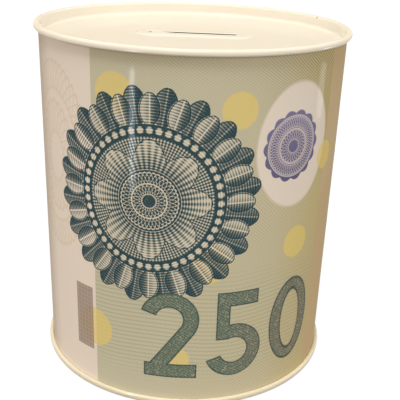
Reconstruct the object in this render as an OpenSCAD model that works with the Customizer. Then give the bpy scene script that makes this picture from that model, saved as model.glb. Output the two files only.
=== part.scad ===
// Round tin money box: a printed tinplate wall, two rolled-on ends and a push-in stopper in the base.
// Millimetres, +Z up. The origin is the centre of the base, on the surface that it stands on.
// The long side of the coin slot lies along X, and the front of the print faces -Y.

/* [Overall] */
// Diameter across the rolled rims
rim_d = 134; // [100:1:180]
// Height over both rims
total_h = 150; // [80:1:240]

/* [Tinplate] */
// Thickness of the printed wall sheet
wall_t = 0.3; // [0.2:0.05:0.4]
// Thickness of the sheet of both ends
end_t = 0.35; // [0.25:0.05:0.45]

/* [Rolled rims] */
// How far the rims stand out from the wall
rim_overhang = 1.9; // [1.4:0.1:2.6]
// Straight stretch of the top rim's outer side
top_flat = 0.4; // [0:0.1:2]
// Straight stretch of the base rim's outer side
base_flat = 0.7; // [0:0.1:2]
// Width of the flat land that the base rim stands on
base_land = 0.6; // [0.3:0.1:1]
// How far round the rim's edge is curled under, in degrees
curl_turn = 143; // [110:1:150]
// Play between the curled edge and the wall
curl_gap = 0.1; // [0.05:0.05:0.3]
// Play beside the wall's hook, inside the rim
hook_gap = 0.65; // [0.5:0.05:0.8]
// Play over the wall's hook and under its tip
hook_end_gap = 0.1; // [0.05:0.05:0.3]

/* [Top end] */
// Depth of the top panel under its rim
top_sink = 5.4; // [3.5:0.1:12]
// Height of the raised oval round the slot
oval_h = 0.6; // [0.2:0.1:1.5]
// Length of the raised oval at its foot
oval_l = 50; // [44:1:60]
// Width of the raised oval at its foot
oval_w = 17; // [9:1:24]
// Width of the oval's sloping edge
oval_slope = 2; // [0.5:0.1:2.5]

/* [Coin slot] */
// Length of the coin slot
slot_l = 37.6; // [28:0.1:40]
// Width of the coin slot
slot_w = 3; // [2.4:0.1:3.8]
// How far the slot's turned lip reaches under the oval
lip_h = 1.6; // [0.8:0.1:4]

/* [Base] */
// Depth of the base panel inside its rim
base_sink = 4.5; // [3.5:0.1:12]
// Bend radius at the foot of both panels
foot_r = 1.6; // [0.6:0.1:2.5]
// Radius of the stiffening ring
ring_r = 48; // [38:1:54]
// Bend radius of the stiffening ring
ring_bend = 2.5; // [1:0.1:4]
// Slope of the stiffening ring's sides, in degrees
ring_slope = 40; // [20:1:60]
// Diameter of the emptying hole
hole_d = 40; // [24:1:50]
// Bend radius at the mouth of the hole
neck_r = 0.7; // [0.4:0.1:2]
// Straight height of the hole's turned neck
neck_h = 1.8; // [1:0.1:5]

/* [Wall seam] */
// Width of the folded seam inside the wall
fold_w = 4.5; // [3:0.1:8]
// Thickness of the folded seam
fold_t = 0.6; // [0.3:0.1:1]
// Distance of the folded seam from both panels
fold_end_gap = 1; // [0.5:0.1:5]
// Width of the joint line outside the wall
joint_w = 0.3; // [0.1:0.05:1]
// Depth of the joint line
joint_depth = 0.12; // [0.05:0.01:0.15]

/* [Stopper] */
// Play between the stopper and the hole
plug_gap = 0.05; // [0.02:0.01:0.09]
// Play between the stopper's flange and the base panel
seat_gap = 0.05; // [0.02:0.01:0.2]
// How far the stopper reaches into the tin
plug_h = 10; // [6:0.5:20]
// Wall and crown thickness of the stopper
plug_t = 1.6; // [1:0.1:2.5]
// Chamfer round the stopper's crown
plug_chamfer = 1; // [0.2:0.1:1.5]
// How far the flange reaches past the hole
flange_reach = 3.5; // [2:0.1:8]
// Thickness of the flange
flange_t = 1.5; // [0.8:0.1:2.5]
// Thickness of the grip bar
bar_t = 5; // [3:0.1:8]
// How far the grip bar stays back from the flange's face
bar_back = 0.4; // [0:0.1:2]

/* [Hidden] */
$fn = 96;
// Largest angle between two points of a bend's section
bend_step = 15;
// Overshoot of a cut past the surface that it leaves by
cut = 1;

rim_r = rim_d / 2;
wall_r = rim_r - rim_overhang;
wall_in_r = wall_r - wall_t;
// Mid-sheet radii of an end: its upright side against the wall, and the outer side of its rim
side_mid_r = wall_in_r - end_t / 2;
outer_mid_r = rim_r - end_t / 2;
// Bend radii of the rim at mid-sheet, and its outer curl radius
curl_out_r = (rim_overhang - curl_gap) / (1 - cos(curl_turn));
curl_mid_r = curl_out_r - end_t / 2;
function arch_r(land) = (outer_mid_r - side_mid_r - land) / 2;
function arch_out_r(land) = arch_r(land) + end_t / 2;
// Depth of the curl's centre under the rim's edge
function curl_z(land, flat) = arch_out_r(land) + flat;
// The wall's hook: its outer width, its bend radius, and the depths of its bend and of its tip
hook_w = rim_overhang + wall_t - end_t - hook_gap;
hook_mid_r = (hook_w - wall_t) / 2;
hook_off = max(abs(wall_in_r + hook_w - rim_r + curl_out_r),
               abs(wall_in_r + hook_w - wall_t - rim_r + curl_out_r));
curl_in_r = curl_out_r - end_t;
tip_reach = sqrt(max(0, curl_in_r * curl_in_r - hook_off * hook_off)) - hook_end_gap;
function hook_z(land) = max(arch_out_r(land), end_t + hook_w / 2) + hook_end_gap;
function hook_leg(land, flat) = max(0, curl_z(land, flat) + tip_reach - hook_z(land));

// ---- Sheet sections ----
// A section is walked from a start [x, z, heading]. A move is [length] or [bend radius, turn],
// with left turns positive. The walk gives a list of [x, z, heading] along the middle of the sheet.
function bend_steps(turn) = max(1, ceil(abs(turn) / bend_step));
function side_of(p) = [-sin(p[2]), cos(p[2])];
function bend_point(p, r, turn, share) =
    let (s = sign(turn), a = p[2] + turn * share,
         c = [p[0], p[1]] + s * r * side_of(p),
         q = c - s * r * [-sin(a), cos(a)])
    [q[0], q[1], a];
function run_point(p, l) = [p[0] + l * cos(p[2]), p[1] + l * sin(p[2]), p[2]];
function moved(p, m) = len(m) == 1
    ? [run_point(p, m[0])]
    : [for (k = [1 : bend_steps(m[1])]) bend_point(p, m[0], m[1], k / bend_steps(m[1]))];
function walk(p, moves, i = 0) = i == len(moves)
    ? [p]
    : let (more = moved(p, moves[i]))
      concat([p], [for (k = [0 : 1 : len(more) - 2]) more[k]], walk(more[len(more) - 1], moves, i + 1));
function edge(points, off) = [for (p = points) [p[0], p[1]] + off * side_of(p)];
function backwards(list) = [for (i = [len(list) - 1 : -1 : 0]) list[i]];

module sheet_section(start, moves, t) {
    points = walk(start, moves);
    polygon(concat(edge(points, t / 2), backwards(edge(points, -t / 2))));
}

// The moves of an end from the foot of its panel to the tip of its curl
function rim_moves(sink, land, flat) = [
    [foot_r, 90],
    [sink + end_t / 2 - foot_r - arch_out_r(land)],
    [arch_r(land), -90],
    [land],
    [arch_r(land), -90],
    [flat],
    [curl_mid_r, -curl_turn],
];
// The moves of the wall's hook from the upright wall to its tip
function hook_moves(land, flat) = [
    [hook_mid_r, -180],
    [hook_leg(land, flat)],
];

// ---- Body shell ----
wall_mid_r = wall_r - wall_t / 2;
fold_z0 = base_sink + end_t + fold_end_gap;
fold_z1 = total_h - top_sink - end_t - fold_end_gap;

// Wall from the middle of the height up to the hook inside a rim, with z counted down from that rim
module half_wall(land, flat) {
    rotate_extrude()
        sheet_section([wall_mid_r, -total_h / 2, 90],
                      concat([[total_h / 2 - hook_z(land)]], hook_moves(land, flat)), wall_t);
}

module folded_seam() {
    turn = 2 * asin(fold_w / 2 / wall_in_r);
    rotate([0, 0, 90 - turn / 2])
        rotate_extrude(angle = turn)
            translate([wall_in_r - fold_t, fold_z0])
                square([fold_t + wall_t / 2, fold_z1 - fold_z0]);
}

module body_shell() {
    color([0.75, 0.73, 0.60])
        difference() {
            union() {
                translate([0, 0, total_h]) half_wall(0, top_flat);
                mirror([0, 0, 1]) half_wall(base_land, base_flat);
                folded_seam();
            }
            translate([-joint_w / 2, wall_r - joint_depth, fold_z0])
                cube([joint_w, joint_depth + cut, fold_z1 - fold_z0]);
        }
}

// ---- Top end ----
top_panel_z = total_h - top_sink;

// A bar with round ends, w wide and l long
module round_bar(l, w, h) {
    straight = l - w;
    for (s = [-1, 1]) translate([s * straight / 2, 0, 0]) cylinder(d = w, h = h);
    translate([-straight / 2, -w / 2, 0]) cube([straight, w, h]);
}

// A raised oval whose edge slopes in over its height
module sloped_oval(l, w, h, slope) {
    straight = l - w;
    for (s = [-1, 1]) translate([s * straight / 2, 0, 0]) cylinder(d1 = w, d2 = w - 2 * slope, h = h);
    translate([-straight / 2, 0, 0])
        rotate([90, 0, 90])
            linear_extrude(height = straight)
                polygon([[-w / 2, 0], [w / 2, 0], [w / 2 - slope, h], [slope - w / 2, h]]);
}

module top_end() {
    color([0.98, 0.94, 0.84])
        difference() {
            union() {
                translate([0, 0, total_h])
                    rotate_extrude()
                        sheet_section([0, -top_sink - end_t / 2, 0],
                                      concat([[side_mid_r - foot_r]], rim_moves(top_sink, 0, top_flat)), end_t);
                translate([0, 0, top_panel_z]) sloped_oval(oval_l, oval_w, oval_h, oval_slope);
                // The turned lip round the slot
                translate([0, 0, top_panel_z + oval_h - end_t - lip_h])
                    round_bar(slot_l + 2 * end_t, slot_w + 2 * end_t, lip_h + end_t / 2);
            }
            // The hollow under the oval, outside the lip
            difference() {
                translate([0, 0, top_panel_z - end_t]) sloped_oval(oval_l, oval_w, oval_h, oval_slope);
                translate([0, 0, top_panel_z - end_t - cut])
                    round_bar(slot_l + 2 * end_t, slot_w + 2 * end_t, oval_h + end_t + 2 * cut);
            }
            translate([0, 0, top_panel_z + oval_h - end_t - lip_h - cut])
                round_bar(slot_l, slot_w, lip_h + end_t + 2 * cut);
        }
}

// ---- Bottom end ----
hole_r = hole_d / 2;
ring_half_w = 2 * ring_bend * sin(ring_slope);
neck_mid_r = hole_r + end_t / 2;

module bottom_end() {
    color([0.97, 0.92, 0.80])
        mirror([0, 0, 1])
            rotate_extrude()
                sheet_section([neck_mid_r, -base_sink - end_t / 2 - neck_r - neck_h, 90],
                              concat([
                                  [neck_h],
                                  [neck_r, -90],
                                  [ring_r - ring_half_w - neck_mid_r - neck_r],
                                  [ring_bend, -ring_slope],
                                  [ring_bend, 2 * ring_slope],
                                  [ring_bend, -ring_slope],
                                  [side_mid_r - foot_r - ring_r - ring_half_w],
                              ], rim_moves(base_sink, base_land, base_flat)), end_t);
}

// ---- Stopper ----
plug_r = hole_r - plug_gap;
flange_z1 = base_sink - seat_gap;
flange_z0 = flange_z1 - flange_t;
crown_z = base_sink + plug_h;

module stopper() {
    color([0.93, 0.92, 0.88])
        union() {
            rotate_extrude()
                polygon([
                    [0, crown_z - plug_t],
                    [plug_r - plug_t, crown_z - plug_t],
                    [plug_r - plug_t, flange_z0],
                    [hole_r + flange_reach, flange_z0],
                    [hole_r + flange_reach, flange_z1],
                    [plug_r, flange_z1],
                    [plug_r, crown_z - plug_chamfer],
                    [plug_r - plug_chamfer, crown_z],
                    [0, crown_z],
                ]);
            // The grip bar across the stopper's hollow
            intersection() {
                translate([0, 0, flange_z0 + bar_back])
                    cylinder(r = plug_r - plug_t / 2, h = crown_z - plug_t / 2 - flange_z0 - bar_back);
                translate([-plug_r, -bar_t / 2, 0]) cube([2 * plug_r, bar_t, crown_z]);
            }
        }
}

body_shell();
top_end();
bottom_end();
stopper();
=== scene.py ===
"""A round tin money box: printed wall, cream enamelled ends with rolled rims, coin slot and base stopper.

The wall's sheet, with its hooks and its joint line, is the CAD node. The ends and the stopper are
finer meshes that replace their nodes, and the print is on a thin skin over the wall. The print is
worked out by shader nodes from the distance round the wall and the height on it, in millimetres.
"""

import math

import bmesh
import bpy
from mathutils import Matrix, Vector


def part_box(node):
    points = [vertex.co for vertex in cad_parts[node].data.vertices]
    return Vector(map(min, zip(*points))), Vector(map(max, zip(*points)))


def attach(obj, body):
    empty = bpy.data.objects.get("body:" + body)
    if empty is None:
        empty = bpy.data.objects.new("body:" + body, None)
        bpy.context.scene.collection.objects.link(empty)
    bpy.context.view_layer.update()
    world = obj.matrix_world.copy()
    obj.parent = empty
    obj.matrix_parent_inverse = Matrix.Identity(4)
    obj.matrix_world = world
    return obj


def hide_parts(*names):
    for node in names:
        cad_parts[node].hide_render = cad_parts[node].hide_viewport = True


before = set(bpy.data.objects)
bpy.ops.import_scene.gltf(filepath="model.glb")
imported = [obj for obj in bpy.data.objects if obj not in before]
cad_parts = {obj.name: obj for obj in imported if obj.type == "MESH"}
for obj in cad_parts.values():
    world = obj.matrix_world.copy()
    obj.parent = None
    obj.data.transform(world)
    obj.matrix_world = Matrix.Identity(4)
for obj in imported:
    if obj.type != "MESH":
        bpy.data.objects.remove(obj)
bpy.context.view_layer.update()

MM = 0.001
TURN = 2 * math.pi

# ---- Sizes, in millimetres and degrees, as the part's source has them ----
END_T, WALL_T = 0.35, 0.3  # sheet
JOINT_W = 0.3  # the joint line down the wall's back
RIM_OVERHANG = 1.9  # how far the rolled rims stand out from the wall
CURL_TURN, CURL_GAP = 143, 0.1
TOP_FLAT, BASE_FLAT = 0.4, 0.7  # the rims' outer sides, between crest and curl
TOP_LAND, BASE_LAND = 0.0, 0.6  # flat land on the rims' crests
TOP_SINK, BASE_SINK = 5.4, 4.5  # how deep the panels lie under the crests
FOOT_R = 1.6  # bend at the foot of a panel's side
OVAL_H, OVAL_W = 0.6, 17.0
SLOT_L, SLOT_W = 37.6, 3.0
LIP_H = 1.6
HOLE_R = 20.0
NECK_R, NECK_H = 0.7, 1.8
RING_R, RING_BEND, RING_SLOPE = 48.0, 2.5, 40  # the pressed ring of the base
PLUG_GAP, SEAT_GAP = 0.05, 0.05
PLUG_H, PLUG_T, PLUG_CHAMFER = 10.0, 1.6, 1.0
FLANGE_REACH, FLANGE_T = 3.5, 1.5
BAR_T, BAR_BACK = 5.0, 0.4


def outer_radius(node):
    """The largest distance of a node's points from the tin's axis, in millimetres."""
    return max(math.hypot(v.co.x, v.co.y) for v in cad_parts[node].data.vertices) / MM


RIM_R = outer_radius("top_end")
TOTAL_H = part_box("top_end")[1].z / MM
WALL_R = RIM_R - RIM_OVERHANG
SIDE_MID_R = WALL_R - WALL_T - END_T / 2
OUTER_MID_R = RIM_R - END_T / 2


# ---- Sheet sections and lofted meshes ----
BEND_STEP = 7.5  # degrees between two points of a bend
ROUND_STEPS = 256  # points round a ring
SHARP_ANGLE = math.radians(38)


def walk(start, moves):
    """Points (x, z, heading) along a sheet's middle. A move is a length, or a bend's radius and turn."""
    x, z, heading = start
    points = [(x, z, heading)]
    for move in moves:
        if not isinstance(move, tuple):
            if move <= 0:
                continue
            x += move * math.cos(math.radians(heading))
            z += move * math.sin(math.radians(heading))
            points.append((x, z, heading))
            continue
        radius, turn = move
        side = math.copysign(1, turn)
        cx = x - side * radius * math.sin(math.radians(heading))
        cz = z + side * radius * math.cos(math.radians(heading))
        steps = max(2, math.ceil(abs(turn) / BEND_STEP))
        for k in range(1, steps + 1):
            a = math.radians(heading + turn * k / steps)
            on_bend = cx + side * radius * math.sin(a), cz - side * radius * math.cos(a)
            points.append((*on_bend, math.degrees(a)))
        x, z, heading = points[-1]
    return points


def beside(points, off):
    """The points (x, z) at a distance from a sheet's middle, to the left of its heading."""
    turned = [(x, z, math.radians(heading)) for x, z, heading in points]
    return [(x - off * math.sin(a), z + off * math.cos(a)) for x, z, a in turned]


def both_sides(points, thickness):
    """The closed outline of a sheet: out along one side of its middle and back along the other."""
    return beside(points, thickness / 2) + beside(points, -thickness / 2)[::-1]


def rim_moves(sink, land, flat):
    """The moves of an end from the foot of its panel to the tip of its curl."""
    arch = (OUTER_MID_R - SIDE_MID_R - land) / 2
    curl = (RIM_OVERHANG - CURL_GAP) / (1 - math.cos(math.radians(CURL_TURN))) - END_T / 2
    return [(FOOT_R, 90), sink - FOOT_R - arch, (arch, -90), land, (arch, -90), flat, (curl, -CURL_TURN)]


def outward(mesh):
    """Turns all faces of a closed mesh outward."""
    bm = bmesh.new()
    bm.from_mesh(mesh)
    bmesh.ops.recalc_face_normals(bm, faces=bm.faces)
    bm.to_mesh(mesh)
    bm.free()


def mesh_object(name, points, faces):
    """A smooth mesh object from points in millimetres, with sharp edges marked and faces outward."""
    mesh = bpy.data.meshes.new(name)
    mesh.from_pydata([Vector(p) * MM for p in points], [], faces)
    mesh.validate()
    obj = bpy.data.objects.new(name, mesh)
    bpy.context.scene.collection.objects.link(obj)
    outward(mesh)
    mesh.shade_smooth()
    mesh.set_sharp_from_angle(angle=SHARP_ANGLE)
    return obj


def ring_faces(rings, steps, closed):
    """Quads between neighbouring rings of points; a closed stack also joins its last ring to its first."""
    faces = []
    for i in range(rings if closed else rings - 1):
        low, high = i * steps, (i + 1) % rings * steps
        for k in range(steps):
            n = (k + 1) % steps
            faces.append((low + k, low + n, high + n, high + k))
    return faces


def circle_ring(radius, z, steps=ROUND_STEPS):
    """A ring of points round the tin's axis."""
    turns = [TURN * k / steps for k in range(steps)]
    return [(radius * math.cos(a), radius * math.sin(a), z) for a in turns]


def oval_ring(length, width, z, steps=ROUND_STEPS):
    """A ring round a bar with round ends. A quarter of its points go to each side and to each end."""
    quarter, straight, r = steps // 4, length - width, width / 2
    points = []
    for k in range(steps):
        q = (k + quarter / 2) / quarter
        part, t = int(q) % 4, q - int(q)
        side = 1 if part < 2 else -1
        if part % 2 == 0:
            a = math.radians((t - 0.5) * 180) + (0 if side > 0 else math.pi)
            points.append((side * straight / 2 + r * math.cos(a), r * math.sin(a), z))
        else:
            points.append((side * straight * (0.5 - t), side * r, z))
    return points


def mixed_ring(a, b, t):
    """A ring between two others, at a share of the way from the first."""
    return [tuple(p + (q - p) * t for p, q in zip(m, n)) for m, n in zip(a, b)]


# ---- The two ends ----
OVAL_BEND = 2.4  # bend radius at the foot and the shoulder of the raised oval
OVAL_RISE = 20  # slope of its side, in degrees
LIP_BEND = 0.55  # bend radius of the slot's lip at mid-sheet
PANEL_RINGS = (0.04, 0.15, 0.4, 0.7, 0.92)  # rings of points between the oval's foot and the panel's
BRUISE_H = 0.42  # height of the bruise on the slot's front lip
BRUISE_START, BRUISE_END = (-18.3, -17.2), (-15.3, -6.5)  # where it rises and falls, along the slot
BRUISE_REACH = (0.4, 3.6)  # where it fades, across the lip


def base_end():
    """The base: a turned neck round the hole, a stiffening ring, the foot and the rolled rim."""
    neck_mid_r = HOLE_R + END_T / 2
    half_ring = 2 * RING_BEND * math.sin(math.radians(RING_SLOPE))
    middle = walk(
        (neck_mid_r, -BASE_SINK - END_T / 2 - NECK_R - NECK_H, 90),
        [
            NECK_H,
            (NECK_R, -90),
            RING_R - half_ring - neck_mid_r - NECK_R,
            (RING_BEND, -RING_SLOPE),
            (RING_BEND, 2 * RING_SLOPE),
            (RING_BEND, -RING_SLOPE),
            SIDE_MID_R - FOOT_R - RING_R - half_ring,
        ]
        + rim_moves(BASE_SINK, BASE_LAND, BASE_FLAT),
    )
    outline = both_sides(middle, END_T)
    points = [p for r, z in outline for p in circle_ring(r, -z)]
    return mesh_object("base_end_sheet", points, ring_faces(len(outline), ROUND_STEPS, True))


def eased(x, low, high):
    """x from low to high as 0 to 1, with soft ends."""
    t = min(1.0, max(0.0, (x - low) / (high - low)))
    return t * t * (3 - 2 * t)


def lip_rise(x, y):
    """The punch has left the front lip of the slot a little high near its left end."""
    if y >= 0:
        return 0.0
    along = eased(x, *BRUISE_START) * (1 - eased(x, *BRUISE_END))
    return BRUISE_H * along * (1 - eased(abs(y + SLOT_W / 2), *BRUISE_REACH))


def top_end():
    """The top: the slot's turned lip, the raised oval, the flat panel, the foot and the rolled rim."""
    panel_z = TOTAL_H - TOP_SINK - END_T / 2
    bend_drop = OVAL_BEND * (1 - math.cos(math.radians(OVAL_RISE)))
    bend_run = OVAL_BEND * math.sin(math.radians(OVAL_RISE))
    slope = (OVAL_H - 2 * bend_drop) / math.sin(math.radians(OVAL_RISE))
    slope_run = slope * math.cos(math.radians(OVAL_RISE))
    run = (OVAL_W - SLOT_W) / 2  # from the slot's edge to the foot of the oval
    lip = LIP_H - LIP_BEND + END_T / 2
    shoulder = run - END_T / 2 - LIP_BEND - 2 * bend_run - slope_run
    raised = walk(
        (END_T / 2, panel_z + OVAL_H - LIP_BEND - lip, 90),
        [lip, (LIP_BEND, -90), shoulder, (OVAL_BEND, -OVAL_RISE), slope, (OVAL_BEND, OVAL_RISE)],
    )
    rim = walk((SIDE_MID_R - FOOT_R, -TOP_SINK - END_T / 2, 0), rim_moves(TOP_SINK, TOP_LAND, TOP_FLAT))

    def side(off):
        rings = [oval_ring(SLOT_L + 2 * s, SLOT_W + 2 * s, z) for s, z in beside(raised, off)]
        inner, outer = rings[-1], circle_ring(rim[0][0], panel_z + off)
        rings += [mixed_ring(inner, outer, t) for t in PANEL_RINGS]
        return rings + [circle_ring(r, TOTAL_H + z) for r, z in beside(rim, off)]

    rings = side(END_T / 2) + side(-END_T / 2)[::-1]
    points = [(x, y, z + lip_rise(x, y)) for ring in rings for x, y, z in ring]
    return mesh_object("top_end_sheet", points, ring_faces(len(rings), ROUND_STEPS, True))


# ---- The printed skin ----
SKIN_PIECES = 8
SKIN_STEPS = 40  # faces round one piece
JOINT_PIECE = 2  # the piece that begins at the wall's joint line, at the back
SKIN_OUT, SKIN_IN = 0.04, -0.04  # outer and inner side of the skin, from the wall's outer radius
SKIN_END = 2.0  # distance of the skin's ends from the tin's ends, under the rims' curls
UV_OUT = (0.0, 0.97)  # left side and width, in the bake's image, of the strip for the outer side
UV_IN = (0.975, 0.012)  # for the inner side
UV_TOP, UV_BASE = (0.990, 0.002), (0.993, 0.002)  # for the top and bottom edges
UV_FIRST, UV_LAST = (0.996, 0.0015), (0.998, 0.0015)  # for the two upright edges


def skin_piece(index):
    """One closed sector of the printed skin, with the image map that its bake uses."""
    start = TURN * index / SKIN_PIECES
    half_gap = JOINT_W / 2 / WALL_R
    first = start + (half_gap if index == JOINT_PIECE else 0)
    last = start + TURN / SKIN_PIECES - (half_gap if index + 1 == JOINT_PIECE else 0)
    rings = []
    for k in range(SKIN_STEPS + 1):
        a = first + (last - first) * k / SKIN_STEPS
        for off, z in ((SKIN_OUT, SKIN_END), (SKIN_OUT, TOTAL_H - SKIN_END),
                       (SKIN_IN, TOTAL_H - SKIN_END), (SKIN_IN, SKIN_END)):
            r = WALL_R + off
            rings.append((r * math.cos(a), r * math.sin(a), z))
    faces = ring_faces(SKIN_STEPS + 1, 4, False)
    faces += [(0, 1, 2, 3), tuple(SKIN_STEPS * 4 + k for k in (3, 2, 1, 0))]
    obj = mesh_object(f"print_skin_{index + 1}", rings, faces)
    mesh = obj.data
    layer = mesh.uv_layers.new(name="OFBake")
    for face in mesh.polygons:
        facing = Vector((face.center.x, face.center.y, 0)).normalized().dot(face.normal)
        for loop in face.loop_indices:
            p = mesh.vertices[mesh.loops[loop].vertex_index].co / MM
            # The first edge may come out a hair below 0, and mustn't wrap
            a = (math.atan2(p.y, p.x) - start + TURN / 100) % TURN - TURN / 100
            round_share = a / (TURN / SKIN_PIECES)
            up_share = (p.z - SKIN_END) / (TOTAL_H - 2 * SKIN_END)
            deep_share = (math.hypot(p.x, p.y) - WALL_R - SKIN_IN) / (SKIN_OUT - SKIN_IN)
            if facing > 0.5:
                (left, width), u, v = UV_OUT, round_share, up_share
            elif abs(face.normal.z) > 0.5:
                (left, width), u, v = UV_TOP if face.normal.z > 0 else UV_BASE, deep_share, round_share
            elif facing < -0.5:
                (left, width), u, v = UV_IN, round_share, up_share
            else:
                (left, width), u, v = UV_FIRST if round_share < 0.5 else UV_LAST, deep_share, up_share
            layer.data[loop].uv = (left + width * u, v)
    return obj


# ---- The stopper ----
SOFT_EDGE, CROWN_EDGE, NECK_EDGE = 0.35, 0.8, 0.2  # how far its moulded corners are rounded
CROWN_MIDDLE_R = 0.6  # radius of the small faces that close the crown's middle
CUP_STEPS, CORNER_STEPS = 128, 5
GRIP_SPANS, GRIP_WAIST = 24, 0.22  # faces along the grip bar, and the share that its waist is narrower
# Shares of the bar's thickness, from its middle, and of its height, round its section
GRIP_SECTION = (
    (-0.5, 1.0), (-0.5, 0.12), (-0.42, 0.03), (-0.3, 0.0),
    (0.3, 0.0), (0.42, 0.03), (0.5, 0.12), (0.5, 1.0),
)


def stopper_piece():
    """The stopper: a flanged cup turned upside down, with a grip bar across its hollow."""
    plug_r = HOLE_R - PLUG_GAP
    flange_top = BASE_SINK - SEAT_GAP
    flange_low = flange_top - FLANGE_T
    crown = BASE_SINK + PLUG_H
    inner_r, flange_r = plug_r - PLUG_T, HOLE_R + FLANGE_REACH
    corners = [
        (inner_r, crown - PLUG_T, CROWN_EDGE), (inner_r, flange_low, SOFT_EDGE),
        (flange_r, flange_low, SOFT_EDGE), (flange_r, flange_top, SOFT_EDGE),
        (plug_r, flange_top, NECK_EDGE), (plug_r, crown, PLUG_CHAMFER),
    ]
    outline = [(CROWN_MIDDLE_R, crown - PLUG_T)]
    for i, (r, z, soft) in enumerate(corners):
        before = corners[i - 1][:2] if i else (0, crown - PLUG_T)
        after = corners[i + 1][:2] if i + 1 < len(corners) else (0, crown)
        outline += rounded_corner(before, (r, z), after, soft)
    outline.append((CROWN_MIDDLE_R, crown))
    points = [p for r, z in outline for p in circle_ring(r, z, CUP_STEPS)]
    faces = ring_faces(len(outline), CUP_STEPS, False)
    faces += [tuple(range(CUP_STEPS)), tuple(len(points) - 1 - k for k in range(CUP_STEPS))]
    cup = mesh_object("stopper_body", points, faces)
    grip = grip_bar(inner_r + PLUG_T / 2, flange_low + BAR_BACK, crown - PLUG_T / 2)
    grip.parent = cup
    return cup, grip


def rounded_corner(before, corner, after, size):
    """Points of a corner rounded with a curve that leaves and meets its sides at the same distance."""
    b, c, a = Vector(before), Vector(corner), Vector(after)
    p, q = c + (b - c).normalized() * size, c + (a - c).normalized() * size
    points = []
    for k in range(CORNER_STEPS + 1):
        t = k / CORNER_STEPS
        points.append(tuple(p * (1 - t) ** 2 + c * 2 * t * (1 - t) + q * t * t))
    return points


def grip_bar(end_r, low, high):
    """The bar, waisted along its sides for a finger and thumb, with soft lower edges."""
    points = []
    for k in range(GRIP_SPANS + 1):
        t = k / GRIP_SPANS * 2 - 1
        waist = 1 - GRIP_WAIST * math.cos(t * math.pi / 2) ** 2
        for off, up in GRIP_SECTION:
            y = off * BAR_T * waist
            points.append((t * end_r * math.sqrt(1 - (y / end_r) ** 2), y, low + (high - low) * up))
    n = len(GRIP_SECTION)
    faces = ring_faces(GRIP_SPANS + 1, n, False)
    faces += [tuple(range(n)), tuple(GRIP_SPANS * n + k for k in reversed(range(n)))]
    return mesh_object("stopper_grip", points, faces)


# ---- Materials ----
def linear(r, g, b):
    """A linear colour from one written in 0 to 255."""
    def one(c):
        c /= 255
        return c / 12.92 if c <= 0.04045 else ((c + 0.055) / 1.055) ** 2.4
    return one(r), one(g), one(b), 1.0


def new_material(name):
    """A node material, its tree and its shader."""
    mat = bpy.data.materials.new(name)
    mat.use_nodes = True
    tree = mat.node_tree
    return mat, tree, tree.nodes["Principled BSDF"]


class Field:
    """A number that a material's nodes work out at each point. Arithmetic on it adds Math nodes."""

    def __init__(self, socket):
        self.socket = socket

    def __add__(self, other):
        return math_node("ADD", self, other)

    def __sub__(self, other):
        return math_node("SUBTRACT", self, other)

    def __rsub__(self, other):
        return math_node("SUBTRACT", other, self)

    def __mul__(self, other):
        return math_node("MULTIPLY", self, other)

    def __neg__(self):
        return math_node("MULTIPLY", self, -1)

    def __abs__(self):
        return math_node("ABSOLUTE", self)

    __radd__ = __add__
    __rmul__ = __mul__


def math_node(operation, *values, clamp=False):
    """A Math node fed with fields and plain numbers."""
    tree = next(value for value in values if isinstance(value, Field)).socket.id_data
    node = tree.nodes.new("ShaderNodeMath")
    node.operation = operation
    node.use_clamp = clamp
    for socket, value in zip(node.inputs, values):
        if isinstance(value, Field):
            tree.links.new(value.socket, socket)
        else:
            socket.default_value = value
    return Field(node.outputs[0])


def least(first, *others):
    """The least of some fields: for shapes, the area that any of them covers."""
    for other in others:
        first = math_node("MINIMUM", first, other)
    return first


def most(first, *others):
    """The most of some fields: for shapes, the area that all of them cover."""
    for other in others:
        first = math_node("MAXIMUM", first, other)
    return first


def wave(x):
    """The cosine of a field."""
    return math_node("COSINE", x)


def reach(x, y):
    """The distance of (x, y) from the origin."""
    return math_node("SQRT", math_node("MULTIPLY_ADD", x, x, y * y))


def slanted(x, y, degrees):
    """The coordinate along a direction."""
    a = math.radians(degrees)
    return math_node("MULTIPLY_ADD", x, math.cos(a), y * math.sin(a))


def wrapped(x, low, high):
    """x brought between two limits by whole steps of their distance."""
    return math_node("WRAP", x, high, low)


def to_line(x, pitch):
    """The distance to the nearest of evenly spaced lines, one of which is at 0."""
    return math_node("PINGPONG", x, pitch / 2)


def strip(x, low, high):
    """The signed distance to a strip, negative inside it, as with all the shapes below."""
    return abs(x - (low + high) / 2) - (high - low) / 2


def box(x, y, x0, y0, x1, y1):
    """An upright box between two corners."""
    return most(strip(x, x0, x1), strip(y, y0, y1))


def disc(x, y, cx, cy, r):
    """A disc from its middle and radius."""
    return reach(x - cx, y - cy) - r


def oval(x, y, cx, cy, rx, ry):
    """An oval from its middle and its two radii."""
    return (reach((x - cx) * (1 / rx), (y - cy) * (1 / ry)) - 1) * min(rx, ry)


def ink(distance, soft=0.2):
    """How far a shape covers a point: 1 inside, 0 outside, with an edge of the given softness."""
    return math_node("MULTIPLY_ADD", distance, -1 / soft, 0.5, clamp=True)


def share(x, low, high):
    """x from low to high as 0 to 1, held at both ends."""
    return math_node("MULTIPLY_ADD", x, 1 / (high - low), -low / (high - low), clamp=True)


def object_place(tree):
    """The place of a point on its object, in metres."""
    return tree.nodes.new("ShaderNodeTexCoord").outputs["Object"]


def split_up(tree, place):
    """The three coordinates of a place as fields."""
    node = tree.nodes.new("ShaderNodeSeparateXYZ")
    tree.links.new(place, node.inputs[0])
    return [Field(out) for out in node.outputs]


def noise(tree, place, scale, detail):
    """Noise from 0 to 1 with a mean of about 0.5. The scale is per unit of the place."""
    node = tree.nodes.new("ShaderNodeTexNoise")
    node.inputs["Scale"].default_value = scale
    node.inputs["Detail"].default_value = detail
    tree.links.new(place, node.inputs["Vector"])
    return Field(node.outputs["Fac"])


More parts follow.
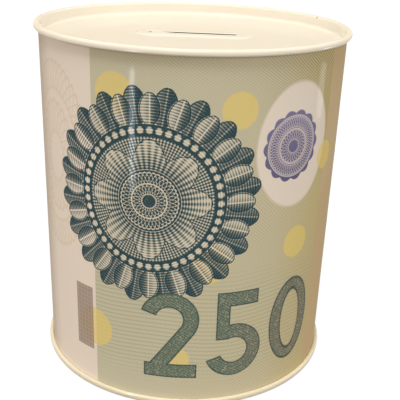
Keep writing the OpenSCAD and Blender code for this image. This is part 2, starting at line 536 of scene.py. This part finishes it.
def paint(under, colour, cover):
    """One colour over another, by how far it covers."""
    tree = cover.socket.id_data
    mix = tree.nodes.new("ShaderNodeMix")
    mix.data_type = "RGBA"
    tree.links.new(cover.socket, mix.inputs["Factor"])
    for name, value in (("A", under), ("B", colour)):
        if isinstance(value, tuple):
            mix.inputs[name].default_value = linear(*value)
        else:
            tree.links.new(value, mix.inputs[name])
    return mix.outputs["Result"]


SLOT_SHADE_TONE = (58, 52, 46)  # painted shade down inside the slot, on the lip below its rounded edge
SLOT_SHADE_OUT, SLOT_SHADE_DOWN = 0.2, 0.12  # how far out of the slot, and from what depth, the painted shade reaches
CHIP, CHIP_R = (55.8, 32.6, 149.4), 0.45  # a small chip on the crest of the top rim
CHIP_TONE = (150, 128, 104)


def in_slot(tree, where):
    """How far a point lies inside the slot, under its rounded edge, where the shade is painted."""
    x, y, z = (c * (1 / MM) for c in split_up(tree, where))
    beyond = most(abs(x) - (SLOT_L - SLOT_W) / 2, 0)
    off = reach(beyond, y) - SLOT_W / 2
    under = z - (TOTAL_H - TOP_SINK + OVAL_H - SLOT_SHADE_DOWN)
    return least(ink(off - SLOT_SHADE_OUT, 0.1), ink(under, 0.1))


def in_chip(tree, where):
    """How far a point lies inside the soft-edged chip."""
    x, y, z = (c * (1 / MM) - middle for c, middle in zip(split_up(tree, where), CHIP))
    return ink(reach(reach(x, y), z) - CHIP_R, 0.5) * 0.8


def bump_from(tree, shader, height, strength, distance):
    """Fine relief from a height field. The distance is in metres."""
    bump = tree.nodes.new("ShaderNodeBump")
    bump.inputs["Strength"].default_value = strength
    bump.inputs["Distance"].default_value = distance
    tree.links.new(height.socket, bump.inputs["Height"])
    tree.links.new(bump.outputs["Normal"], shader.inputs["Normal"])


def enamel(name, colour, deep, roughness=0.22, chip_and_slot_shade=False):
    """A pale coat: a faint drift of tone, a little orange peel and a clear gloss.

    The top's coat also has the chip on the rim, and painted shade down inside the coin slot.
    """
    mat, tree, shader = new_material(name)
    where = object_place(tree)
    coat = paint(colour, deep, share(noise(tree, where, 22, 3), 0.3, 0.7))
    if chip_and_slot_shade:
        # painted shade down inside the coin slot
        coat = paint(coat, SLOT_SHADE_TONE, in_slot(tree, where))
        coat = paint(coat, CHIP_TONE, in_chip(tree, where))
    tree.links.new(coat, shader.inputs["Base Color"])
    bump_from(tree, shader, noise(tree, where, 900, 2), 0.12, 0.00006)
    shader.inputs["Roughness"].default_value = roughness
    shader.inputs["Coat Weight"].default_value = 0.6
    shader.inputs["Coat Roughness"].default_value = 0.08
    return mat


# ---- The print, in millimetres: across a panel, and up from the table ----
FRONT_AT = 19.5  # the front panel's middle, to the right of the tin's front
RIGHT_STEP, RIGHT_FROM = 127.3, 89.5  # the step to the next panel's middle, and where that panel begins
LEFT_STEP, LEFT_FROM = -158.5, -85.0
FIELD_LEFT, FIELD_RIGHT = -56.3, 49.0  # the green field's sides; the rest is the pale gutter
BARE_MARGIN = 1.6  # unprinted tin on each side of the joint line
FINE_SLANT, FINE_PITCH, FINE_HALF = 56, 0.9, 0.155  # the green field's fine lines
LEVEL_PITCH, LEVEL_HALF = 1.9, 0.28  # and its level ones, lower down
# the warm ground is patchy tone and painted warm shade, the tan one painted warm shade, both towards a
# panel's right
GROUND, GROUND_WARM_TONE_AND_SHADE, GROUND_TAN_SHADE = (214, 206, 179), (213, 199, 161), (213, 193, 138)
GROUND_LINE, GROUND_LINE_DARK = (174, 175, 146), (118, 110, 80)
# the second pale is painted shade, darker towards a gutter's middle; the third is painted warm shade on the
# gutter right of the field, and the watermark's ink
PALE, PALE_GUTTER_SHADE, PALE_WARM_INK_AND_SHADE = (242, 228, 213), (200, 185, 169), (210, 183, 139)
TEAL_DARK, TEAL_SOFT = (48, 76, 84), (118, 140, 132)
FIGURE, FIGURE_EDGE, FIGURE_WARM = (92, 112, 98), (58, 82, 80), (134, 118, 98)
YELLOW, MAUVE, MAUVE_DARK = (240, 214, 122), (172, 152, 138), (140, 120, 112)
VIOLET, VIOLET_DARK = (112, 110, 156), (78, 76, 128)
TIN = (186, 186, 184)
# Places in a panel: middles across and up, then radii
DISCS = ((-57, 30, 9), (-46, 132, 8), (-7, 66, 8), (2, 128, 7), (-20, 22, 6), (33, 70, 7), (49, 104, 6))
PALE_OVAL = (28.5, 112, 19, 25)
ROSETTE = (-31.5, 92.0)
MEDALLION = (26.5, 112.0)
WATERMARK = (-80.5, 100.0)
ENGRAVING = 1.1  # pitch of the rosette's engraved rings
LEAVES, LEAF_FOOT = 20, 29.6  # the number of leaves in a row, and the radius that they grow from
FRONT_LEAVES, BACK_LEAVES = (42, 0.86), (44.5, 0.95)  # the radius of their tips, and their fullness
BEADS, BEAD_RING, BEAD_R = 48, 27.8, 1.3
BEAD_BAND = (25.4, 30.2)
PETALS, PETAL_FOOT, PETAL_REACH, FLUTES = 8, 17.4, 7.4, 48
RAYS, RAYS_R = 120, 25.6
HUB_R = 12.6
SCALLOPS, MEDALLION_R, SCALLOP_REACH = 14, 13.0, 1.3
FOIL_BAR = (-68, 18, -58, 48)  # two corners


def wall_print():
    """The printed and varnished wall: three repeated panels, and bare tin along the joint line."""
    mat, tree, shader = new_material("printed_tinplate")
    where = object_place(tree)
    x, y, z = split_up(tree, where)
    round_mm = math_node("ARCTAN2", x, -y) * WALL_R
    up = z * (1 / MM)
    across = panel_across(round_mm)
    slow = noise(tree, where, 14, 1)
    grain = noise(tree, where, 1400, 1)

    colour = ground(across, up, slow)
    colour = yellow_discs(colour, across, up)
    colour = rosette(colour, across, up, grain)
    colour = figures(colour, across, up, slow, grain)
    colour = medallion(colour, across, up)
    colour = foil_bar(colour, across, up)
    colour = paint(colour, PALE, share(grain, 0.55, 0.9) * 0.16)
    colour = paint(colour, TIN, ink(TURN / 2 * WALL_R - BARE_MARGIN - abs(round_mm)))
    tree.links.new(colour, shader.inputs["Base Color"])
    bump_from(tree, shader, noise(tree, where, 500, 1), 0.05, 0.00005)
    shader.inputs["Roughness"].default_value = 0.4
    shader.inputs["Specular IOR Level"].default_value = 0.0
    shader.inputs["Coat Weight"].default_value = 0.14
    shader.inputs["Coat Roughness"].default_value = 0.06
    return mat


def panel_across(round_mm):
    """The distance from the middle of a point's panel. The joint line lies in a pale gutter between two."""
    right = math_node("GREATER_THAN", round_mm, RIGHT_FROM)
    left = math_node("LESS_THAN", round_mm, LEFT_FROM)
    return round_mm - FRONT_AT - right * RIGHT_STEP - left * LEFT_STEP


def lacquered_inside():
    """The unprinted inner side of the wall: tin under a thin golden lacquer."""
    mat, tree, shader = new_material("lacquered_inside")
    blotches = share(noise(tree, object_place(tree), 90, 3), 0.3, 0.7)
    tree.links.new(paint((150, 134, 100), (132, 116, 84), blotches), shader.inputs["Base Color"])
    shader.inputs["Metallic"].default_value = 0.7
    shader.inputs["Roughness"].default_value = 0.4
    return mat


def ground(across, up, slow):
    """The pale gutters, with painted shade towards their middle and painted warm shade right of the field,
    and the green field with its fine slanted and level lines, its pale oval and painted warm shade towards
    its right.
    """
    # painted shade, darker towards the gutter's middle
    pale = paint(PALE, PALE_GUTTER_SHADE, share(across, -84, -104))
    # painted warm shade, patchy, on the gutter right of the field
    pale = paint(pale, PALE_WARM_INK_AND_SHADE, share(across, 0, 1) * share(across, 82, 71) * (slow * 0.8 + 0.6))
    pale = watermark(pale, across - WATERMARK[0], up - WATERMARK[1])
    # patchy tone, with painted warm shade growing towards the panel's right
    green = paint(GROUND, GROUND_WARM_TONE_AND_SHADE, share(slow * 40 + across * 0.6, 5, 45))
    # painted warm shade, tan, towards the panel's right
    green = paint(green, GROUND_TAN_SHADE, share(across, 20, 46))
    bend = wave(up * 0.09) * 3
    fine = to_line(slanted(across, up, FINE_SLANT) + bend, FINE_PITCH) - FINE_HALF
    corner = share(across, 8, 40) * share(up, 92, 122)
    green = paint(green, GROUND_LINE, ink(fine, 0.25) * 0.5)
    green = paint(green, GROUND_LINE_DARK, ink(fine, 0.25) * corner * 0.5)
    level = to_line(up + wave(across * 0.11) * 0.8, LEVEL_PITCH) - LEVEL_HALF
    low = share(up, 66, 50) * share(up, 8, 22)
    green = paint(green, GROUND_LINE, ink(level, 0.3) * low * 0.6)
    field = paint(pale, green, ink(strip(across, FIELD_LEFT, FIELD_RIGHT), 0.3))
    return paint(field, PALE, ink(oval(across, up, *PALE_OVAL), 1.2))


def watermark(under, x, y):
    """A faint woven oval in the wide pale gutter."""
    y = y * 0.6
    r = reach(x, y)
    angle = math_node("ARCTAN2", y, x)
    weave = most(strands(r, angle, 20, 3.4, 12, 1.6), strands(r, angle, 10, 4.0, 6, 1.6))
    return paint(under, PALE_WARM_INK_AND_SHADE, weave * 0.28)


def yellow_discs(under, across, up):
    """Plain discs of a see-through yellow."""
    shape = least(*(disc(across, up, *place) for place in DISCS))
    return paint(under, YELLOW, ink(shape, 0.5) * 0.72)


def engraved(tone, line):
    """A tone broken into lines, which are wider where it is darker. The line runs from 0 to 1."""
    return math_node("MULTIPLY_ADD", tone - line * 0.62, 2.2, 0.12, clamp=True)


def leaf_row(angle, r, shift, tip, fullness):
    """A ring of leaves, each with a dark and a light half: its tone and its signed distance."""
    step = TURN / LEAVES
    off = wrapped(angle + shift * step, -step / 2, step / 2)
    along = share(r, LEAF_FOOT, tip)
    half_width = math_node("SQRT", along * (1 - along) * (4 - along * 2)) * (step * fullness / 2)
    leaf = most((abs(off) - half_width) * (LEAF_FOOT * 0.45 + tip * 0.55), r - tip)
    shade = share(off, step * 0.22, step * -0.22) * 0.5 + 0.34
    rib = ink(abs(off) * r - 0.28, 0.3)
    edge = ink(abs(leaf + 0.3) - 0.22, 0.35)
    return (shade - rib * 0.45 + edge * 0.6) * ink(leaf, 0.3), leaf


def rosette(under, across, up, grain):
    """A large engraved rosette: two rows of leaves round beads, fluted petals and a woven middle."""
    x, y = across - ROSETTE[0], up - ROSETTE[1]
    r = reach(x, y)
    angle = math_node("ARCTAN2", y, x)
    rings = to_line(r, ENGRAVING) * (2 / ENGRAVING)
    front_tone, front = leaf_row(angle, r, 0, *FRONT_LEAVES)
    back_tone, back = leaf_row(angle, r, 0.5, *BACK_LEAVES)
    behind = ink(front, 0.3)
    leaf_tone = most(front_tone, (back_tone * 0.55 + 0.5 * ink(back, 0.3)) * (1 - behind))

    # A row of beads between two lines
    half_step = TURN / (2 * BEADS)
    bead_off = wrapped(angle, -half_step, half_step) * BEAD_RING
    bead = reach(bead_off, r - BEAD_RING) - BEAD_R
    bead_tone = ink(strip(r, *BEAD_BAND), 0.3) * (0.98 - ink(bead, 0.7) * 0.8)

    # Petals with flutes, on a darker ground of fine rays
    petal = r - (PETAL_FOOT + abs(wave(angle * (PETALS / 2))) * PETAL_REACH)
    flute = wave(angle * FLUTES) * 0.2
    petal_tone = share(r, 25, 11) * 0.55 + flute + 0.24 + ink(abs(petal + 0.4) - 0.3, 0.4) * 0.6
    rays = (0.62 + wave(angle * RAYS) * 0.25) * ink(r - RAYS_R, 0.3)
    inner = ink(petal, 0.3)
    petal_tone = petal_tone * inner + rays * (1 - inner)

    # The woven middle
    weave = strands(r, angle, 9.2, 2.4, 10, 1.0)
    weave_too = strands(r, angle, 5.0, 2.2, 6, 1.0)
    hub = ink(r - HUB_R, 0.3)
    core = hub * (0.92 - most(weave, weave_too) * 0.72)

    tone = most(leaf_tone, bead_tone, petal_tone * (1 - hub), core)
    cover = engraved(tone + share(grain, 0.4, 0.8) * 0.06, rings) * ink(r - 45, 0.4)
    dark = paint(TEAL_SOFT, TEAL_DARK, share(tone, 0.2, 0.85))
    filled = most(ink(front, 0.4), ink(back, 0.4), ink(r - 30, 0.4))
    light = paint(under, PALE, filled * 0.5)
    return paint(light, dark, cover)


def strands(r, angle, middle, swing, lobes, width):
    """The cover of two families of woven lines round a ring."""
    lines = [
        math_node(curve, angle * lobes + shift) * swing + (middle - r)
        for shift in (0, TURN / 2) for curve in ("COSINE", "SINE")
    ]
    return ink(least(*(abs(line) for line in lines)) - width * 0.28, 0.35)


def arc(x, y, r, width, ends):
    """Part of a ring, between two angles more than half a turn apart, going anticlockwise."""
    first, last = ends
    ring = abs(reach(x, y) - r) - width / 2
    return most(ring, -most(slanted(x, y, first + 90), slanted(x, y, last - 90)))


def stroke(x, y, start, end, width):
    """A straight stroke between two points."""
    dx, dy = end[0] - start[0], end[1] - start[1]
    degrees = math.degrees(math.atan2(dy, dx))
    x, y = x - start[0], y - start[1]
    return most(strip(slanted(x, y, degrees), 0, math.hypot(dx, dy)),
                abs(slanted(x, y, degrees + 90)) - width / 2)


def figure_two(x, y):
    """A 2. Like the others it is 36 high, before it is scaled."""
    return least(
        arc(x - 11, y - 25, 8, 6, (-47, 165)),
        stroke(x, y, (18.2, 21.3), (6.0, 4.0), 6),
        box(x, y, 1.6, 0, 21.6, 6),
    )


def figure_five(x, y):
    """A 5."""
    return least(
        arc(x - 10.5, y - 11.3, 8.3, 6, (-160, 115)),
        box(x, y, 3.4, 16.1, 8.6, 34),
        box(x, y, 3.4, 30, 19.6, 36),
    )


def figure_nought(x, y):
    """A 0."""
    return most(oval(x, y, 11, 18, 11, 18), -oval(x, y, 11, 18, 5.2, 12.4))


FIGURES_AT, FIGURES_LEFT = 13.0, -35.0  # foot and left end of the numbers
FIGURE_SCALE = 1.12
NUMBER = ((figure_two, 0.0), (figure_five, 25.0), (figure_nought, 50.5))  # the left end of each figure


def figures(under, across, up, slow, grain):
    """Large plain numbers in a speckled ink with a darker edge."""
    x = (across - FIGURES_LEFT) * (1 / FIGURE_SCALE)
    y = (up - FIGURES_AT) * (1 / FIGURE_SCALE)
    shape = least(*(figure(x - start, y) for figure, start in NUMBER))
    body = paint(FIGURE, FIGURE_WARM, share(slow * 30 + x * 0.35, 28, 42) * 0.55)
    speck = share(grain, 0.5, 0.75)
    hatch = ink(to_line(slanted(across, y, 60), 0.95) - 0.2, 0.3)
    body = paint(body, GROUND, speck * 0.4 + hatch * 0.16)
    body = paint(body, FIGURE_EDGE, ink(abs(shape + 0.3) - 0.25, 0.3) * 0.85)
    return paint(under, body, ink(shape, 0.25))


def medallion(under, across, up):
    """A small scalloped medallion with woven lines."""
    x, y = across - MEDALLION[0], up - MEDALLION[1]
    r = reach(x, y)
    angle = math_node("ARCTAN2", y, x)
    edge = r - (MEDALLION_R + abs(wave(angle * (SCALLOPS / 2))) * SCALLOP_REACH)
    weave = strands(r, angle, 9.6, 2.0, 14, 0.9)
    inner = strands(r, angle, 4.6, 2.0, 6, 0.8)
    ring = ink(abs(r - 12.1) - 0.25, 0.3)
    light = most(weave, inner, ring, ink(abs(r - 6.9) - 0.3, 0.3))
    body = paint(VIOLET_DARK, VIOLET, share(y, -12, 12))
    body = paint(body, PALE, light * 0.72)
    return paint(under, body, ink(edge, 0.3) * 0.92)


def foil_bar(under, across, up):
    """A mauve bar with small squares."""
    squares = most(to_line(across + 58, 2.0), to_line(up, 2.0)) - 0.7
    body = paint(MAUVE, MAUVE_DARK, ink(squares, 0.3) * 0.6)
    return paint(under, body, ink(box(across, up, *FOIL_BAR), 0.3) * 0.85)


def give(obj, mat):
    """Makes a material an object's only one."""
    obj.data.materials.clear()
    obj.data.materials.append(mat)
    return obj


# ---- Camera and lights, in metres ----
CAM_DIST, CAM_HEIGHT = 0.32798, 0.19651
CAM_PITCH, CAM_YAW, CAM_ROLL = 0.4259, 0.0167, 0.0374
CAM_AZIMUTH = math.radians(2.67)  # the slot is turned a little out of the camera's sideways line
FOCAL_PX, CENTRE_X, CENTRE_Y = 745.52, 198.22, 240.0
PHOTO_PX, SENSOR = 400, 36.0


def make_camera():
    """The photo's camera, as it was fitted to the rims and the outline."""
    cam = bpy.data.cameras.new("camera")
    cam.sensor_width = SENSOR
    cam.lens = FOCAL_PX / PHOTO_PX * SENSOR
    cam.shift_x = (PHOTO_PX / 2 - CENTRE_X) / PHOTO_PX
    cam.shift_y = (CENTRE_Y - PHOTO_PX / 2) / PHOTO_PX
    obj = bpy.data.objects.new("camera", cam)
    level = math.cos(CAM_PITCH)
    forward = Vector((math.sin(CAM_YAW) * level, math.cos(CAM_YAW) * level, -math.sin(CAM_PITCH)))
    right = forward.cross(Vector((0, 0, 1))).normalized()
    up = right.cross(forward)
    right, up = (math.cos(CAM_ROLL) * right + math.sin(CAM_ROLL) * up,
                 -math.sin(CAM_ROLL) * right + math.cos(CAM_ROLL) * up)
    about = Matrix.Rotation(CAM_AZIMUTH, 3, "Z")
    turned = about @ Matrix((right, up, -forward)).transposed()
    place = about @ Vector((0, -CAM_DIST, CAM_HEIGHT))
    obj.matrix_world = Matrix.Translation(place) @ turned.to_4x4()
    bpy.context.scene.collection.objects.link(obj)
    bpy.context.scene.camera = obj


def aimed(name, light, place, target):
    """A light object at a place, pointed at a target, which the camera doesn't see."""
    obj = bpy.data.objects.new(name, light)
    obj.location = place
    obj.rotation_mode = "QUATERNION"
    obj.rotation_quaternion = (Vector(target) - Vector(place)).to_track_quat("-Z", "Y")
    obj.visible_camera = False
    bpy.context.scene.collection.objects.link(obj)
    return obj


def soft_sun(name, azimuth, elevation, level, spread):
    """A wide soft light, not mirrored, from an azimuth to the right of the front and an elevation.

    Its level is that of a white face that it meets squarely, and its spread is in degrees.
    """
    light = bpy.data.lights.new(name, "SUN")
    light.energy = level * math.pi
    light.angle = math.radians(spread)
    az, el = math.radians(azimuth), math.radians(elevation)
    away = Vector((math.sin(az) * math.cos(el), -math.cos(az) * math.cos(el), math.sin(el)))
    aimed(name, light, away, (0, 0, 0)).visible_glossy = False


def card_light(name, place, target, size, level, mirrored=True, tint=(1, 1, 1)):
    """A card of light that either shows as a reflection or lights softly. Its level is that of its face."""
    light = bpy.data.lights.new(name, "AREA")
    light.shape = "RECTANGLE"
    light.size, light.size_y = size
    light.energy = level * math.pi * size[0] * size[1]
    light.color = tint
    card = aimed(name, light, place, target)
    card.visible_diffuse = not mirrored
    card.visible_glossy = mirrored


# ---- Floor and world ----
FLOOR_SIZE = 8  # metres
FLOOR_NEAR, FLOOR_FAR = 0.15, 0.08  # how much light the floor throws back, close by and further off
FLOOR_FADE = (55, 5)  # between these distances from the rims, in millimetres
FLOOR_TINT = (1.0, 0.86, 0.62)
FLOOR_MIRRORED = (0.84, 0.74, 0.60)  # what the enamel mirrors of it
FLOOR_SEEN = 1.04  # its level to the camera: white, with a little to spare for the soft shadow
FLOOR_SHADOW_LINE = (-1.2, 0.0)  # a painted contact shadow line: the floor's emission comes up across this span, in millimetres from the rims
FLOOR_ENDS = (-1.9, -2.0)  # and where it becomes see-through, under the tin
SKY_LOW, SKY_TOP = 0.31, 0.36  # the world's strength as light, at the horizon and overhead
SKY_UNDER = 0.9  # and from below, where it reaches only what the floor lets through
SKY_UNDER_FROM = (-0.05, -0.15)  # heights of its direction, from -1 to 1, as are the next two
SKY_GLOSS = 0.78, 0.76  # its strength in reflections, just above the white at the horizon and higher up
SKY_GLOSS_FROM, SKY_WHITE_TO = (0.15, 0.18), (0.153, 0.147)
SKY_TINT, ROOM_TINT = (255, 250, 240), (255, 236, 206)
WHITE = (255, 255, 255)


def ray(path, kind):
    """1 for one kind of rays, from a Light Path node."""
    return Field(path.outputs[f"Is {kind} Ray"])


def see_through(tree, shader, under_tin):
    """Makes the floor see-through from below, and under the tin, so that the base shows and gets light."""
    below = Field(tree.nodes.new("ShaderNodeNewGeometry").outputs["Backfacing"])
    glass = tree.nodes.new("ShaderNodeBsdfTransparent")
    mix = tree.nodes.new("ShaderNodeMixShader")
    tree.links.new(most(below, under_tin).socket, mix.inputs[0])
    tree.links.new(shader.outputs[0], mix.inputs[1])
    tree.links.new(glass.outputs[0], mix.inputs[2])
    tree.links.new(mix.outputs[0], tree.nodes["Material Output"].inputs["Surface"])


def make_floor():
    """A plain floor that the camera sees as white, with the tin's shadow, but that throws back little.

    The enamel mirrors it as warm and pale. The rest of its level is emission, for seen rays alone, and that
    is held off in a thin ring at the rims: a painted contact shadow line.
    """
    bpy.ops.mesh.primitive_plane_add(size=FLOOR_SIZE, location=(0, 0, 0))
    floor = bpy.context.object
    floor.name = "floor"
    mat, tree, shader = new_material("floor_paper")
    shader.inputs["Roughness"].default_value = 0.9
    shader.inputs["Specular IOR Level"].default_value = 0.0
    x, y, _ = split_up(tree, object_place(tree))
    from_tin = reach(x, y) * (1 / MM) - RIM_R
    tone = share(from_tin, *FLOOR_FADE) * (FLOOR_NEAR - FLOOR_FAR) + FLOOR_FAR
    thrown, rest = (tree.nodes.new("ShaderNodeCombineColor") for _ in range(2))
    path = tree.nodes.new("ShaderNodeLightPath")
    for tint, mirrored, paper, lift in zip(FLOOR_TINT, FLOOR_MIRRORED, thrown.inputs, rest.inputs):
        tree.links.new((tone * tint).socket, paper)
        tree.links.new((FLOOR_SEEN - tone * tint - ray(path, "Glossy") * (1 - mirrored)).socket, lift)
    tree.links.new(thrown.outputs[0], shader.inputs["Base Color"])
    tree.links.new(rest.outputs[0], shader.inputs["Emission Color"])
    seen = most(ray(path, "Camera"), ray(path, "Glossy"), ray(path, "Transmission"))
    # painted contact shadow line: no emission in a thin ring at the rims
    tree.links.new((seen * share(from_tin, *FLOOR_SHADOW_LINE)).socket, shader.inputs["Emission Strength"])
    see_through(tree, shader, share(from_tin, *FLOOR_ENDS))
    give(floor, mat)


def make_world():
    """Soft light, a little brighter overhead, and much brighter from below, where only the base gets it.

    The camera sees it as white. The enamel mirrors a warm room, brightest near the horizon and below.
    """
    world = bpy.data.worlds.new("studio")
    bpy.context.scene.world = world
    world.use_nodes = True
    tree = world.node_tree
    height = split_up(tree, tree.nodes.new("ShaderNodeTexCoord").outputs["Generated"])[2]
    path = tree.nodes.new("ShaderNodeLightPath")
    seen = most(ray(path, "Camera"), ray(path, "Transmission"))
    glossy = ray(path, "Glossy")
    light = share(height, 0, 1) * (SKY_TOP - SKY_LOW) + SKY_LOW
    light = light + share(height, *SKY_UNDER_FROM) * (SKY_UNDER - SKY_LOW)
    low, high = SKY_GLOSS
    above = share(height, *SKY_GLOSS_FROM) * (high - low) + low
    mirrored = most(share(height, *SKY_WHITE_TO), above)
    level = most(seen, glossy * mirrored + (1 - glossy) * light)
    back = tree.nodes["Background"]
    tree.links.new(level.socket, back.inputs["Strength"])
    tint = paint(SKY_TINT, ROOM_TINT, glossy)
    tree.links.new(paint(tint, WHITE, seen), back.inputs["Color"])


# ---- The scene ----
LOW_TINT = (1.0, 0.79, 0.58)  # light that comes back from a wooden table top
WINDOW_TINT = (0.75, 0.87, 1.0)

bpy.context.scene.view_settings.view_transform = "Standard"
make_camera()
make_floor()
make_world()
soft_sun("top", -15, 72, 0.67, 22)
soft_sun("front", 0, 14, 0.05, 40)
soft_sun("left", -30, 16, 0.11, 40)
soft_sun("left_side", -84, 18, 0.16, 40)
soft_sun("fill", 70, 14, 0.33, 30)
MIDDLE = (0, 0, 0.08)
card_light("low_left", (-0.30, -0.45, 0.06), MIDDLE, (0.5, 0.12), 1.6, mirrored=False, tint=LOW_TINT)
card_light("low_right", (0.42, -0.26, 0.05), MIDDLE, (0.3, 0.12), 0.5, mirrored=False, tint=LOW_TINT)
left_window, left_mirror = (-0.1058, -0.1654, 0.079), (-0.0184, -0.0625, 0.079)
right_window, right_mirror = (0.231, 0.038, 0.088), (0.051, -0.040, 0.088)
card_light("blue_strip", left_window, left_mirror, (0.012, 0.070), 28, tint=WINDOW_TINT)
card_light("right_strip", right_window, right_mirror, (0.028, 0.036), 6.5)

# the top's enamel, with the chip on its rim and the painted shade in its slot
cream = enamel("cream_enamel", (246, 238, 222), (245, 236, 218), chip_and_slot_shade=True)
# painted shade: the base's enamel is the top's cream written darker and yellower
base_cream_shaded = enamel("base_cream_shaded_enamel", (227, 216, 189), (224, 212, 183))
for make, node, mat in ((top_end, "top_end", cream), (base_end, "bottom_end", base_cream_shaded)):
    sheet = give(make(), mat)
    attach(sheet, "tin")
    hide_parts(node)

wall = wall_print()
for index in range(SKIN_PIECES):
    skin = give(skin_piece(index), wall)
    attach(skin, "tin")
give(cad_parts["body_shell"], lacquered_inside())

plastic = enamel("stopper_plastic", (236, 233, 222), (230, 226, 214), 0.45)
cup, grip = stopper_piece()
for piece in (cup, grip):
    give(piece, plastic)
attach(cup, "stopper")
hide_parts("stopper")
